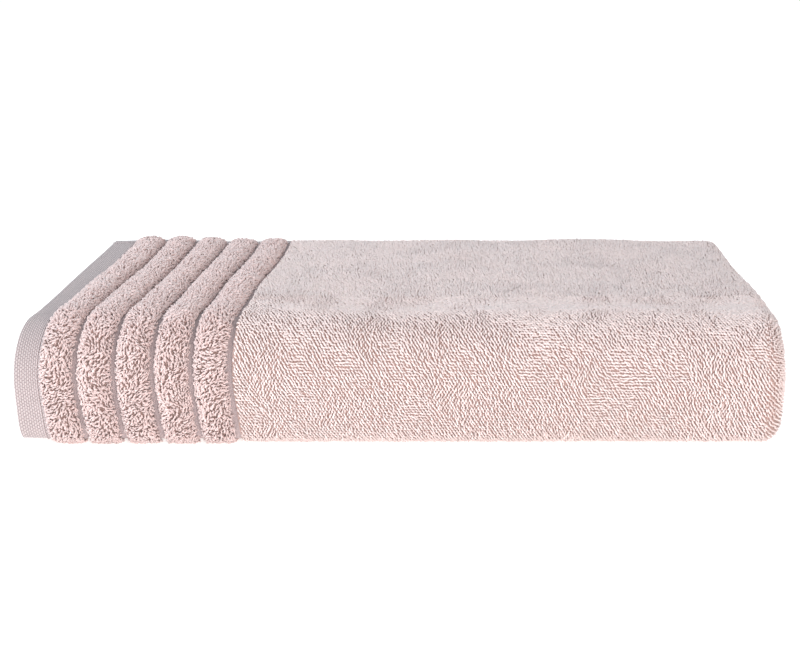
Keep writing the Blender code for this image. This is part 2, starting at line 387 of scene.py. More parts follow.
def layWeave(mesh, flatPlaces):
    # the map that the weave follows, from each point's place on the flat cloth
    layer = mesh.uv_layers.new(name="weave")
    corners = np.empty(len(mesh.loops), np.int32)
    mesh.loops.foreach_get("vertex_index", corners)
    layer.data.foreach_set("uv", flatPlaces[corners].astype(np.float32).ravel())


def meshFrom(name, points, faces, materials):
    mesh = bpy.data.meshes.new(name)
    mesh.from_pydata(points.tolist(), [], faces)
    for material in materials:
        mesh.materials.append(material)
    mesh.shade_smooth()
    return mesh


def buildCloth(name, route, materials):
    along, s = alongSamples(), routeSamples(route, cut["flatStep"])
    grid = np.meshgrid(s, along, indexing="ij")
    face, back = clothDepths(route, grid[1], grid[0], selvageAt(route))
    skins = [place(route, grid[1], grid[0], depth) for depth in (face, back)]
    rows, columns = grid[0].shape
    ring = 2 * columns
    points = np.concatenate([skins[0], skins[1][:, ::-1]], axis=1).reshape(-1, 3)
    order = np.r_[np.arange(columns), np.arange(columns)[::-1]]
    uv = np.stack([np.tile(along[order], rows), np.repeat(s, ring)], axis=-1)
    caps = []
    for last, start in ((False, 0), (True, (rows - 1) * ring)):
        i = np.arange(columns - 1)
        cap = np.stack([start + i, start + i + 1, start + ring - 2 - i, start + ring - 1 - i], axis=-1)
        caps.append(cap[:, ::-1] if last else cap)
    faces = np.concatenate([ringQuads(rows, ring), *caps])
    middleAlong, middleS = uv[faces, 0].mean(axis=1), uv[faces, 1].mean(axis=1)
    hem, ground = borderShares(middleAlong)
    kind = np.where(ground > 0.5, 1, 2)
    kind = np.where((hem > 0.5) | (selvageAt(route)(middleS) > 0.5), 0, kind)
    mesh = meshFrom(name, points, faces.tolist(), materials)
    mesh.polygons.foreach_set("material_index", kind.astype(np.int32))
    layWeave(mesh, uv)
    mesh.validate()
    return addObject(name, mesh)


# node helpers
def feed(tree, socket, value):
    # a node stands for its first output
    if isinstance(value, bpy.types.Node):
        value = value.outputs[0]
    if isinstance(value, bpy.types.NodeSocket):
        tree.links.new(value, socket)
    elif value is not None:
        socket.default_value = value


def addNode(tree, kind, feeds=None, **settings):
    node = tree.nodes.new(kind)
    for key, value in settings.items():
        setattr(node, key, value)
    for key, value in (feeds or {}).items():
        feed(tree, node.inputs[key], value)
    return node


def mathNode(tree, operation, first, second=None, clamp=False):
    return addNode(tree, "ShaderNodeMath", {0: first, 1: second}, operation=operation, use_clamp=clamp)


def setValues(inputs, values):
    for key, value in values.items():
        inputs[key].default_value = value


def mixColours(tree, factor, first, second):
    node = addNode(tree, "ShaderNodeMix", {"Factor": factor}, data_type="RGBA")
    for socket, value in zip([i for i in node.inputs if i.type == "RGBA"], (first, second)):
        feed(tree, socket, value)
    return [o for o in node.outputs if o.type == "RGBA"][0]


def newSockets(tree, kind, values, out=False):
    for name, value in values.items():
        socket = tree.interface.new_socket(name, in_out="OUTPUT" if out else "INPUT", socket_type=kind)
        if value is not None:
            socket.default_value = value


def inputIds(tree):
    return {i.name: i.identifier for i in tree.interface.items_tree if i.in_out == "INPUT"}


# loops of yarn, one on each carrier point
def buildYarnTree():
    tree = bpy.data.node_groups.new("yarnLoops", "GeometryNodeTree")
    newSockets(tree, "NodeSocketGeometry", {"Geometry": None})
    newSockets(tree, "NodeSocketGeometry", {"Geometry": None}, out=True)
    newSockets(tree, "NodeSocketFloat", {
        "Length": 0.003, "Thickness": 0.001, "Arch": 0.001, "Tip Height": 0.0, "Taper": 0.45, "Heading": 0.0,
        "Swirl": 1.0, "Swirl Scale": 60.0, "Scatter": 0.3, "Tilt": 0.2, "Size Spread": 0.25,
    })
    newSockets(tree, "NodeSocketInt", {"Bends": 2, "Seed": 1})
    newSockets(tree, "NodeSocketMaterial", {"Yarn": None})
    newSockets(tree, "NodeSocketObject", {"Core": None})
    add, maths = partial(addNode, tree), partial(mathNode, tree)
    given = add("NodeGroupInput").outputs

    def randomValue(low, high, step):
        node = add("FunctionNodeRandomValue", {"Seed": maths("ADD", given["Seed"], step)}, data_type="FLOAT")
        floats = [i for i in node.inputs if i.type == "VALUE"]
        floats[0].default_value, floats[1].default_value = low, high
        return [o for o in node.outputs if o.type == "VALUE"][0]

    def shareOf(name, step):
        return maths("MULTIPLY", randomValue(-1.0, 1.0, step), given[name])

    # one loop, lying along +X with its back up
    half = maths("MULTIPLY", given["Length"], 0.5)
    strand = add("GeometryNodeCurveQuadraticBezier", {
        "Resolution": 12,
        "Start": add("ShaderNodeCombineXYZ", {"X": maths("MULTIPLY", half, -1.0)}),
        "Middle": add("ShaderNodeCombineXYZ", {"Z": given["Arch"]}),
        "End": add("ShaderNodeCombineXYZ", {"X": half, "Z": given["Tip Height"]}),
    })
    count = maths("ADD", given["Bends"], 1.0)
    bent = add("GeometryNodeResampleCurve", {"Curve": strand, "Count": count}, mode="COUNT")
    share = add("GeometryNodeSplineParameter").outputs["Factor"]
    fromMiddle = maths("SUBTRACT", maths("MULTIPLY", share, 2.0), 1.0)
    towardsEnd = maths("POWER", maths("ABSOLUTE", fromMiddle), 2.0)
    thin = maths("MULTIPLY", towardsEnd, given["Taper"])
    strip = add("GeometryNodeSetCurveRadius", {"Curve": bent, "Radius": maths("SUBTRACT", 1.0, thin)})
    radius = maths("MULTIPLY", given["Thickness"], 0.5)
    ring = add("GeometryNodeCurvePrimitiveCircle", {"Resolution": 3, "Radius": radius}, mode="RADIUS")
    tube = add("GeometryNodeCurveToMesh", {"Curve": strip, "Profile Curve": ring, "Fill Caps": True})
    spot = add("ShaderNodeSeparateXYZ", {0: add("GeometryNodeInputPosition")})
    # lift, the height within the loop, sets where the yarn's colour lays its painted shade at the root
    peak = maths("MAXIMUM", maths("MULTIPLY", given["Arch"], 0.5), given["Tip Height"])
    peak = maths("ADD", peak, maths("MULTIPLY", given["Thickness"], 0.35))
    rise = maths("DIVIDE", spot.outputs["Z"], peak, clamp=True)
    store = partial(add, "GeometryNodeStoreNamedAttribute", data_type="FLOAT")
    lifted = store({"Name": "lift", "Geometry": tube, "Value": rise}, domain="POINT")
    soft = add("GeometryNodeSetShadeSmooth", {"Geometry": lifted})

    # how each loop lies: on the cloth, swept by the swirl of the pile, then a little on its own
    points = add("GeometryNodeMeshToPoints", {"Mesh": given["Geometry"]}, mode="VERTICES")
    facing, weft = (
        add("GeometryNodeInputNamedAttribute", {"Name": name}, data_type="FLOAT_VECTOR")
        for name in ("facing", "weft")
    )
    turned = add("FunctionNodeAxesToRotation", {0: facing, 1: weft}, primary_axis="Z", secondary_axis="X")
    rough = {"Detail": 2.0, "Roughness": 0.6, "Scale": given["Swirl Scale"]}
    swirl = add("ShaderNodeTexNoise", rough, noise_dimensions="3D")
    sweep = maths("MULTIPLY", maths("SUBTRACT", swirl, 0.5), given["Swirl"])
    heading = maths("ADD", maths("ADD", sweep, shareOf("Scatter", 11)), given["Heading"])
    for axis, angle in (
        ((0, 0, 1), heading), ((0, 1, 0), shareOf("Tilt", 23)), ((1, 0, 0), shareOf("Tilt", 31)),
    ):
        about = add("FunctionNodeAxisAngleToRotation", {"Axis": axis, "Angle": angle})
        turned = add("FunctionNodeRotateRotation", {0: turned, 1: about}, rotation_space="LOCAL")
    size = maths("ADD", shareOf("Size Spread", 47), 1.0)
    laid = {"Points": points, "Instance": soft, "Rotation": turned, "Scale": size}
    grown = add("GeometryNodeInstanceOnPoints", laid)
    toned = store({"Name": "tone", "Geometry": grown, "Value": randomValue(0.0, 1.0, 59)}, domain="INSTANCE")
    real = add("GeometryNodeRealizeInstances", {"Geometry": toned})
    paint = add("GeometryNodeSetMaterial", {"Geometry": real, "Material": given["Yarn"]})
    core = add("GeometryNodeObjectInfo", {"Object": given["Core"]})
    join = add("GeometryNodeJoinGeometry", {0: paint})
    feed(tree, join.inputs[0], core.outputs["Geometry"])
    add("NodeGroupOutput", {0: join})
    return tree


pressedTo = -0.0004  # height


def pressFlat(mesh):
    # pile under the packet lies flat on the floor
    places = np.empty(3 * len(mesh.vertices), np.float32)
    mesh.vertices.foreach_get("co", places)
    places[2::3] = np.maximum(places[2::3], pressedTo)
    mesh.vertices.foreach_set("co", places)
    mesh.update()


def growYarn(name, frames, values, yarn, core=None):
    at, facing, weft = (part.reshape(-1, 3) for part in frames)
    carrier = bpy.data.meshes.new(name)
    carrier.vertices.add(len(at))
    carrier.vertices.foreach_set("co", at.astype(np.float32).ravel())
    for direction, vectors in (("facing", facing), ("weft", weft)):
        attribute = carrier.attributes.new(direction, "FLOAT_VECTOR", "POINT")
        attribute.data.foreach_set("vector", vectors.astype(np.float32).ravel())
    grower = addObject(name + "_carrier", carrier)
    modifier = grower.modifiers.new("yarn", "NODES")
    modifier.node_group = yarnTree
    ids = inputIds(yarnTree)
    for key, value in values.items():
        modifier[ids[key]] = value
    modifier[ids["Yarn"]] = yarn
    if core is not None:
        modifier[ids["Core"]] = core
    graph = bpy.context.evaluated_depsgraph_get()
    mesh = bpy.data.meshes.new_from_object(grower.evaluated_get(graph), depsgraph=graph)
    mesh.name = name
    while None in list(mesh.materials):
        mesh.materials.pop(index=list(mesh.materials).index(None))
    pressFlat(mesh)
    piece = addObject(name, mesh)
    bpy.data.objects.remove(grower)
    if core is not None:
        bpy.data.objects.remove(core)
    return piece


# materials
def buildYarnShade():
    # painted shade: the colour deepens from the pale back of the loop down to its root, where the loops shade
    # each other, with patches and a tone of its own for each loop
    tree = bpy.data.node_groups.new("yarnShade", "ShaderNodeTree")
    rose = (0.8, 0.6, 0.6, 1)
    newSockets(tree, "NodeSocketColor", {"Root": (0.4, 0.2, 0.2, 1), "Crest": rose, "Patch": rose})
    newSockets(tree, "NodeSocketFloat", {"Tone Spread": 0.2, "Patch Scale": 18.0, "Root Depth": 0.6})
    newSockets(tree, "NodeSocketColor", {"Colour": None}, out=True)
    add, maths = partial(addNode, tree), partial(mathNode, tree)
    given = add("NodeGroupInput").outputs
    lift, tone = (add("ShaderNodeAttribute", attribute_name=name).outputs["Fac"] for name in ("lift", "tone"))
    coordinates = add("ShaderNodeTexCoord").outputs["Object"]
    noise = add("ShaderNodeTexNoise", {"Detail": 3.0, "Vector": coordinates, "Scale": given["Patch Scale"]})
    patches = mixColours(tree, noise, given["Crest"], given["Patch"])
    # the Root colour is painted shade, faded out over the lowest Root Depth share of the loop's lift
    fromRoot = maths("DIVIDE", lift, given["Root Depth"], clamp=True)
    rise = mixColours(tree, fromRoot, given["Root"], patches)
    centred = maths("SUBTRACT", tone, 0.5)
    bright = maths("ADD", maths("MULTIPLY", centred, given["Tone Spread"]), 1.0)
    add("NodeGroupOutput", {0: add("ShaderNodeVectorMath", {0: rise, "Scale": bright}, operation="SCALE")})
    return tree


def buildWeaveRelief():
    # rows of staggered floats on the cloth's own map, as a height and a mask of the low places between them,
    # which take painted shade
    tree = bpy.data.node_groups.new("weaveRelief", "ShaderNodeTree")
    newSockets(tree, "NodeSocketFloat", {"Across": 0.0016, "Down": 0.0026, "Slant": 0.5})
    newSockets(tree, "NodeSocketFloat", {"Height": None, "Gaps": None}, out=True)
    add, maths = partial(addNode, tree), partial(mathNode, tree)
    given = add("NodeGroupInput").outputs
    parts = add("ShaderNodeSeparateXYZ", {0: add("ShaderNodeUVMap", uv_map="weave")}).outputs
    column = maths("DIVIDE", parts["X"], given["Across"])
    shift = maths("MULTIPLY", maths("FLOOR", column), given["Slant"])
    row = maths("ADD", maths("DIVIDE", parts["Y"], given["Down"]), shift)
    waves = []
    for value in (column, row):
        inside = maths("SUBTRACT", maths("FRACT", value), 0.5)
        waves.append(maths("COSINE", maths("MULTIPLY", inside, math.pi)))
    height = maths("MULTIPLY", *waves)
    # painted shade mask: one in the low places between the floats, none on their tops
    gaps = maths("SUBTRACT", 1.0, maths("DIVIDE", height, 0.55, clamp=True))
    add("NodeGroupOutput", {"Height": height, "Gaps": gaps})
    return tree


def newMaterial(name, values):
    material = bpy.data.materials.new(name)
    material.use_nodes = True
    inputs = material.node_tree.nodes["Principled BSDF"].inputs
    setValues(inputs, values)
    return material, material.node_tree, inputs


allCloth = {"Sheen Roughness": 0.5, "Specular IOR Level": 0.25}


def clothMaterial(name, look):
    return newMaterial(name, {"Roughness": look["roughness"], "Sheen Weight": look["sheen"], **allCloth})


def yarnMaterial(name, look):
    material, tree, inputs = clothMaterial(name, look)
    feed(tree, inputs["Base Color"], addNode(tree, "ShaderNodeGroup", look["yarn"], node_tree=yarnShade))
    return material


def wovenMaterial(name, look):
    material, tree, inputs = clothMaterial(name, look)
    relief = addNode(tree, "ShaderNodeGroup", look["weave"], node_tree=weaveRelief).outputs
    coordinates = addNode(tree, "ShaderNodeTexCoord").outputs["Object"]
    noise = addNode(tree, "ShaderNodeTexNoise", {"Scale": look["mottle"], "Detail": 4.0, "Vector": coordinates})
    base = mixColours(tree, noise, look["float"], look["floatTwo"])
    # the gap colour is painted shade, laid where the weave is low
    feed(tree, inputs["Base Color"], mixColours(tree, relief["Gaps"], base, look["gap"]))
    bumps = {"Strength": look["bump"], "Distance": look["relief"], "Height": relief["Height"]}
    feed(tree, inputs["Normal"], addNode(tree, "ShaderNodeBump", bumps))
    return material


yarnShade = buildYarnShade()
weaveRelief = buildWeaveRelief()
yarnTree = buildYarnTree()
print("node groups built")

terryLook = {
    "roughness": 0.92, "sheen": 0.3,
    "yarn": {
        # Root is painted shade at the foot of the loops
        "Root": (0.65, 0.505, 0.475, 1), "Crest": (0.77, 0.65, 0.635, 1), "Patch": (0.735, 0.60, 0.575, 1),
        "Tone Spread": 0.16, "Patch Scale": 22.0, "Root Depth": 0.8,
    },
}
ribLook = {
    "roughness": 0.92, "sheen": 0.3,
    "yarn": {
        # Root is painted shade in the crevices between the rib's strands
        "Root": (0.36, 0.20, 0.175, 1), "Crest": (0.74, 0.595, 0.58, 1), "Patch": (0.675, 0.51, 0.49, 1),
        "Tone Spread": 0.18, "Patch Scale": 40.0, "Root Depth": 0.85,
    },
}
# in each woven look, gap is painted shade between the floats
hemLook = {
    "roughness": 0.72, "sheen": 0.25, "mottle": 60.0, "bump": 0.9, "relief": 0.0005,
    "weave": {"Across": 0.0014, "Down": 0.0023, "Slant": 0.5},
    "float": (0.545, 0.46, 0.46, 1), "floatTwo": (0.515, 0.43, 0.43, 1), "gap": (0.27, 0.21, 0.21, 1),
}
groundLook = {
    "roughness": 0.85, "sheen": 0.2, "mottle": 60.0, "bump": 0.6, "relief": 0.0003,
    "weave": {"Across": 0.0009, "Down": 0.0012, "Slant": 0.5},
    "float": (0.50, 0.41, 0.415, 1), "floatTwo": (0.47, 0.38, 0.385, 1), "gap": (0.34, 0.26, 0.26, 1),
}
# the ground under the loops is a deeper, warmer colour as painted shade from the loops over it, and its gap is
# painted shade too
terryGroundLook = {
    "roughness": 0.95, "sheen": 0.1, "mottle": 80.0, "bump": 0.6, "relief": 0.0004,
    "weave": {"Across": 0.0014, "Down": 0.0014, "Slant": 0.5},
    "float": (0.52, 0.37, 0.335, 1), "floatTwo": (0.49, 0.34, 0.31, 1), "gap": (0.38, 0.24, 0.21, 1),
}
threadLook = {
    "roughness": 0.5, "sheen": 0.2,
    "yarn": {
        # Root is painted shade where the thread sinks into the hem
        "Root": (0.40, 0.32, 0.32, 1), "Crest": (0.58, 0.49, 0.49, 1), "Patch": (0.56, 0.47, 0.47, 1),
        "Tone Spread": 0.1, "Patch Scale": 40.0, "Root Depth": 0.5,
    },
}
tapeLook = {
    "roughness": 0.5, "sheen": 0.1, "mottle": 40.0, "bump": 0.3, "relief": 0.0001,
    "weave": {"Across": 0.0006, "Down": 0.0006, "Slant": 0.5},
    "float": (0.70, 0.69, 0.67, 1), "floatTwo": (0.67, 0.66, 0.64, 1), "gap": (0.55, 0.54, 0.52, 1),
}
terryYarn = yarnMaterial("blushTerryYarn", terryLook)
ribYarn = yarnMaterial("blushRibYarn", ribLook)
sewingThread = yarnMaterial("blushSewingThread", threadLook)
hemTwill = wovenMaterial("blushHemTwill", hemLook)
borderGround = wovenMaterial("blushBorderGround", groundLook)
terryGround = wovenMaterial("blushTerryGround", terryGroundLook)
labelTape = wovenMaterial("blankLabelTape", tapeLook)
print("materials built")


# camera, light and floor
view = {
    "right": 0.039, "height": 0.2885, "standOff": 0.7125, "pitch": 17.0, "lens": 59.9, "shift": -0.0865,
}


def setCamera():
    data = bpy.data.cameras.new("packetCamera")
    data.lens, data.sensor_width, data.shift_x = view["lens"], 36.0, view["shift"]
    data.clip_start, data.clip_end = 0.05, 200.0
    camera = addObject("packetCamera", data)
    camera.location = (view["right"], packet["frontY"] - view["standOff"], view["height"])
    camera.rotation_euler = (math.radians(90 - view["pitch"]), 0.0, 0.0)
    bpy.context.scene.camera = camera


lights = {
    "key": {"at": (-1.6, -0.7, 0.95), "size": 0.6, "watts": 29.0, "tint": (0.88, 0.955, 1.0)},
    "front": {"at": (0.7, -1.9, 0.65), "size": 1.0, "watts": 30.0, "tint": (1.0, 0.95, 0.92)},
    "top": {"at": (0.3, 0.8, 1.6), "size": 1.4, "watts": 7.5, "tint": (0.80, 0.93, 1.0)},
}
air = {"strength": 0.47, "tint": (0.89, 0.95, 1.0)}
paper = {
    "tone": 0.9, "roughness": 0.9, "glow": 0.65, "glowTint": (1.0, 0.965, 0.935), "reach": 60.0,
    "level": -0.0006,
}


def setLights():
    for name, light in lights.items():
        data = bpy.data.lights.new(name + "Softbox", "AREA")
        data.shape, data.size = "SQUARE", light["size"]
        data.energy, data.color = light["watts"], light["tint"]
        lamp = addObject(name + "Softbox", data)
        lamp.location = light["at"]
        lamp.rotation_euler = (-Vector(light["at"])).to_track_quat("-Z", "Y").to_euler()
    world = bpy.data.worlds.new("paleStudio")
    world.use_nodes = True
    background = world.node_tree.nodes["Background"]
    setValues(background.inputs, {"Color": (*air["tint"], 1), "Strength": air["strength"]})
    bpy.context.scene.world = world
    bpy.context.scene.view_settings.view_transform = "Standard"


def setFloor():
    mesh = bpy.data.meshes.new("studioFloor")
    reach, level = paper["reach"], paper["level"]
    corners = [(-reach, -reach, level), (reach, -reach, level), (reach, reach, level), (-reach, reach, level)]
    mesh.from_pydata(corners, [], [(0, 1, 2, 3)])
    mesh.materials.append(newMaterial("palePaper", {
        "Base Color": (paper["tone"], paper["tone"], paper["tone"], 1), "Roughness": paper["roughness"],
        "Emission Color": (*paper["glowTint"], 1), "Emission Strength": paper["glow"],
    })[0])
    floor = addObject("studioFloor", mesh)


setCamera()
setLights()
setFloor()
print("studio set")


# the cloth
wrap, base = wrapRoute(), baseRoute()
frontMost = wrap["s"][np.argmin(wrap["y"])]
wrap.update(freeEnd="start", swell=1.0)
wrap.update(crownStart=frontMost - shape["crownBehind"], crownEnd=frontMost + shape["crownPast"])
base.update(freeEnd="end", swell=0.0, crownStart=0.0, crownEnd=1.0)
clothMaterials = [hemTwill, borderGround, terryGround]
wrapCloth = buildCloth("towel_cloth_wrap", wrap, clothMaterials)
baseCloth = buildCloth("towel_cloth_base", base, clothMaterials)
print("cloth", len(wrapCloth.data.polygons), len(baseCloth.data.polygons))


# terry loops on the plain field
fieldYarn = {
    "Length": 0.0020, "Thickness": 0.0011, "Arch": 0.0029, "Tip Height": 0.0002, "Taper": 0.5,
    "Heading": -0.95, "Swirl": 3.8, "Swirl Scale": 38.0, "Scatter": 0.34, "Tilt": 0.24, "Size Spread": 0.18,
    "Bends": 3, "Seed": 5,
}

# how far apart the loops stand, and their size beside fieldYarn, where they show and where they don't
loopKinds = {
    "front": {"across": 0.0019, "down": 0.00172, "Bends": 3, "Length": 1.0, "Thickness": 1.14, "Arch": 0.78},
    "top": {"across": 0.0018, "down": 0.0016, "Bends": 2, "Length": 0.95, "Thickness": 0.97, "Arch": 0.95},
    "back": {"across": 0.0020, "down": 0.0018, "Bends": 2, "Length": 1.2, "Thickness": 1.0, "Arch": 1.0},
    "pressed": {"across": 0.0024, "down": 0.0021, "Bends": 2, "Length": 1.5, "Thickness": 1.15, "Arch": 0.7},
    "under": {"across": 0.0030, "down": 0.0025, "Bends": 2, "Length": 1.8, "Thickness": 1.35, "Arch": 0.6},
}


loopPlaces = {
    "rooted": 0.0001,  # the loops start this far under the woven ground's face
    "clear": 0.0006,  # and this far from a seam
    "coarser": 0.032,  # the front's loops reach this far past the fold onto the top
    "jitter": 0.16,
}


def sprinkle(seed, alongRange, alongStep, sRange, sStep, jitter):
    # rows of loops, each half a step on from the last, none exactly in line; neighbours share the rows
    draw = np.random.default_rng(seed)
    rows = np.arange(math.ceil(sRange[0] / sStep), math.ceil(sRange[1] / sStep))
    columns = np.arange(math.floor(alongRange[0] / alongStep) - 1, math.ceil(alongRange[1] / alongStep) + 1)
    row, column = np.meshgrid(rows, columns, indexing="ij")
    along = (column + (row % 2) / 2) * alongStep
    keep = (along >= alongRange[0]) & (along < alongRange[1])
    along = along + draw.uniform(-jitter, jitter, along.shape) * alongStep
    s = (row + draw.uniform(-jitter, jitter, along.shape)) * sStep
    return along[keep], s[keep]


def growField(name, route, seed, alongRange, sRange, kind):
    steps = loopKinds[kind]
    along, s = sprinkle(seed, alongRange, steps["across"], sRange, steps["down"], loopPlaces["jitter"])
    depth = shape["terryFace"] - loopPlaces["rooted"]
    frames = framesOn(lambda a, b: place(route, a, b, depth), along, s)
    values = dict(fieldYarn, Seed=seed, Bends=steps["Bends"])
    for key in ("Length", "Thickness", "Arch"):
        values[key] = fieldYarn[key] * steps[key]
    return growYarn(name, frames, values, terryYarn)


def routeAt(route, y, upper=False):
    # the length along a route where it passes y, on its first pass or, with upper, on the last one
    hits = np.nonzero(np.diff(np.sign(route["y"] - y)))[0]
    return route["s"][hits[-1 if upper else 0]]


fieldFrom = packet["fieldStart"] + loopPlaces["clear"]
outerEnd = packet["rightRollStart"]
wrapHem = packet["sideHemWidth"] + loopPlaces["clear"]
topEnd = routeAt(wrap, packet["frontY"] + shape["crownReach"] + loopPlaces["coarser"])
frontEnd = routeAt(wrap, packet["frontY"] + shape["heelReach"], upper=True)
splits = [fieldFrom + (outerEnd - fieldFrom) * share for share in (1 / 3, 1 / 2, 2 / 3)]
roundRight = packet["innerStart"]
leftRoll = (packet["leftRollStart"], packet["middleStart"])
yarns = {}
# each with its stretch of the towel's length, its stretch of the route, its kind and its seed
for name, alongRange, sRange, kind, seed in (
    ("terry_loops_top_left", (fieldFrom, splits[0]), (wrapHem, topEnd), "top", 11),
    ("terry_loops_top_middle", (splits[0], splits[2]), (wrapHem, topEnd), "top", 10),
    ("terry_loops_top_right", (splits[2], outerEnd), (wrapHem, topEnd), "top", 12),
    ("terry_loops_front_left", (fieldFrom, splits[1]), (topEnd, frontEnd), "front", 13),
    ("terry_loops_front_right", (splits[1], outerEnd), (topEnd, frontEnd), "front", 17),
    ("terry_loops_right_end", (outerEnd, roundRight), (wrapHem, frontEnd), "top", 14),
    ("terry_loops_under_front", (fieldFrom, roundRight), (frontEnd, wrap["length"]), "under", 15),
    ("terry_loops_inner", (roundRight, packet["leftRollStart"]), (wrapHem, topEnd), "under", 16),
    ("terry_loops_inner_fold", (roundRight, packet["leftRollStart"]), (topEnd, frontEnd), "under", 18),
    ("terry_loops_left_roll", leftRoll, (wrapHem, wrap["length"]), "back", 19),
):
    yarns[name] = growField(name, wrap, seed, alongRange, sRange, kind)
print("field loops", {name: len(piece.data.polygons) for name, piece in yarns.items()})

baseYarns = {}
baseEnd = base["length"] - packet["sideHemWidth"] - loopPlaces["clear"]
underEnd = routeAt(base, packet["backAxisY"])
roundEnd = routeAt(base, packet["backAxisY"], upper=True)
for name, alongRange, sRange, kind, seed in (
    ("terry_loops_under_back", (fieldFrom, roundRight), (0.0, underEnd), "under", 21),
    ("terry_loops_back", (fieldFrom, roundRight), (underEnd, roundEnd), "back", 22),
    ("terry_loops_tucked", (fieldFrom, roundRight), (roundEnd, baseEnd), "pressed", 23),
    ("terry_loops_left_end", leftRoll, (0.0, baseEnd), "pressed", 24),
):
    baseYarns[name] = growField(name, base, seed, alongRange, sRange, kind)
print("base loops", {name: len(piece.data.polygons) for name, piece in baseYarns.items()})


# ribs of long pile
rib = {
    "coreInset": 0.0019,  # the strands stand this far out of the woven core
    "coreSteps": 12,
    "coreRows": 0.004,
    "roundedEnd": 0.0070,
    "roundness": 0.75,
    "flatShare": 0.45,
    "lift": 0.0002,  # the least gap left between a rib's skin and what is under it
    "pressedFrom": 0.0005,  # the rib is flat up to this height and full "pressedOver" above it
    "pressedOver": 0.011,
    "acrossStep": 0.0014,
    "acrossShare": 1.6,  # steps across in shares of the rib's width, which the crown makes longer
    "downStep": 0.00148,
    "strandEdge": 0.97,  # how near the rib's edge the strands go
    "strandClear": 0.0005,
    "jitter": 0.35,
    "widerUnder": 1.7,  # how many times further apart the strands stand where they show less
    "widerBack": 1.15,
    "widerTucked": 1.5,
}
ribYarnValues = {
    "Length": 0.0021, "Thickness": 0.00112, "Arch": 0.0036, "Tip Height": 0.0012, "Taper": 0.45,
    "Heading": 1.2, "Swirl": 8.0, "Swirl Scale": 60.0, "Scatter": 0.5, "Tilt": 0.45, "Size Spread": 0.25,
    "Bends": 2, "Seed": 5,
}


def ribRise(route, s):
    # a rib is pressed flat underneath and between the thirds
    z = np.interp(s, route["s"], route["z"])
    y = np.interp(s, route["s"], route["y"])
    closed = smooth((edgeDistance(route, s) - packet["sideHemWidth"]) / rib["roundedEnd"])
    if route["freeEnd"] == "start":
        return smooth((z - rib["pressedFrom"]) / rib["pressedOver"]) * closed
    outOf = (y - packet["backAxisY"]) / packet["backRadius"]
    return np.clip(outOf, 0, 1) ** 2 * closed


def ribSurface(route, centre, inset):
    half = packet["ribWidth"] / 2 - inset

    def surface(q, s):
        # q runs across the rib from -1 to 1
        foot = packet["groundSink"] * settled(route, s) + rib["lift"]
        flat = rib["lift"] + rib["flatShare"] * inset
        rise = ribRise(route, s)
        crest = (packet["ribCrest"] + inset) * rise + flat * (1 - rise)
        crest = np.minimum(crest, foot - rib["lift"])
        turn = q * math.pi / 2
        along = centre + half * np.sin(turn)
        depth = foot - (foot - crest) * np.abs(np.cos(turn)) ** rib["roundness"]
        return place(route, along, s, depth)

    return surface


def buildRibCore(name, route, centre, s):
    surface = ribSurface(route, centre, rib["coreInset"])
    q = np.linspace(-1, 1, rib["coreSteps"])
    grid = np.meshgrid(s, q, indexing="ij")
    skin = surface(grid[1], grid[0])
    rows, columns = grid[0].shape
    caps = [list(range(columns)), list(range(rows * columns - 1, (rows - 1) * columns - 1, -1))]
    # the core wears the terry ground, whose deep colour is painted shade between the strands
    mesh = meshFrom(name, skin.reshape(-1, 3), ringQuads(rows, columns).tolist() + caps, [terryGround])
    mesh.uv_layers.new(name="weave")
    return addObject(name, mesh)


def growRib(name, route, centre, stretches, seed, bends):
    # each stretch is its start, its end, and how much wider apart its strands stand
    first, last = stretches[0][0], stretches[-1][1]
    samples = routeSamples(route, rib["coreRows"])
    samples = samples[(samples > first) & (samples < last)]
    core = buildRibCore(name + "_core", route, centre, np.r_[first, samples, last])
    places = []
    for start, end, wider in stretches:
        across = rib["acrossShare"] * rib["acrossStep"] / packet["ribWidth"] * wider
        sRange = (start + rib["strandClear"], end - rib["strandClear"])
        edges = (-rib["strandEdge"], rib["strandEdge"])
        places.append(sprinkle(seed, edges, across, sRange, rib["downStep"] * wider, rib["jitter"]))
    q, s = np.concatenate(places, axis=1)
    frames = framesOn(ribSurface(route, centre, rib["coreInset"] + loopPlaces["rooted"]), q, s)
    return growYarn(name, frames, dict(ribYarnValues, Seed=seed, Bends=bends), ribYarn, core)


ribs, baseRibs = [], []
for number, centre in enumerate(packet["ribCentres"], start=1):
    parts = [(wrapHem, frontEnd, 1.0), (frontEnd, wrap["length"], rib["widerUnder"])]
    ribs.append(growRib(f"long_pile_{number}_wrap", wrap, centre, parts, 30 + number, 3))
    parts = [(0.0, underEnd, rib["widerUnder"]), (underEnd, roundEnd, rib["widerBack"])]
    parts.append((roundEnd, baseEnd, rib["widerTucked"]))
    baseRibs.append(growRib(f"long_pile_{number}_under", base, centre, parts, 40 + number, 2))
print("ribs", [len(piece.data.polygons) for piece in ribs + baseRibs])


# sewing and label
stitch = {
    "pitch": 0.0029,
    "inset": 0.0016,
    "margin": 0.001,
    "values": {
        "Length": 0.0023, "Thickness": 0.0006, "Arch": 0.0006, "Tip Height": 0.0, "Taper": 0.35,
        "Heading": 0.0, "Swirl": 0.0, "Swirl Scale": 1.0, "Scatter": 0.05, "Tilt": 0.03, "Size Spread": 0.05,
        "Bends": 3, "Seed": 7,
    },
}


def sewEndHem(name, route, seed):
    s = np.arange(stitch["margin"], route["length"] - stitch["margin"], stitch["pitch"])
    along = np.full_like(s, packet["hemWidth"] - stitch["inset"])
    frames = framesOn(lambda a, b: place(route, a, b, packet["hemSink"] * settled(route, b)), along, s)
    return growYarn(name, frames, dict(stitch["values"], Heading=math.pi / 2, Seed=seed), sewingThread)


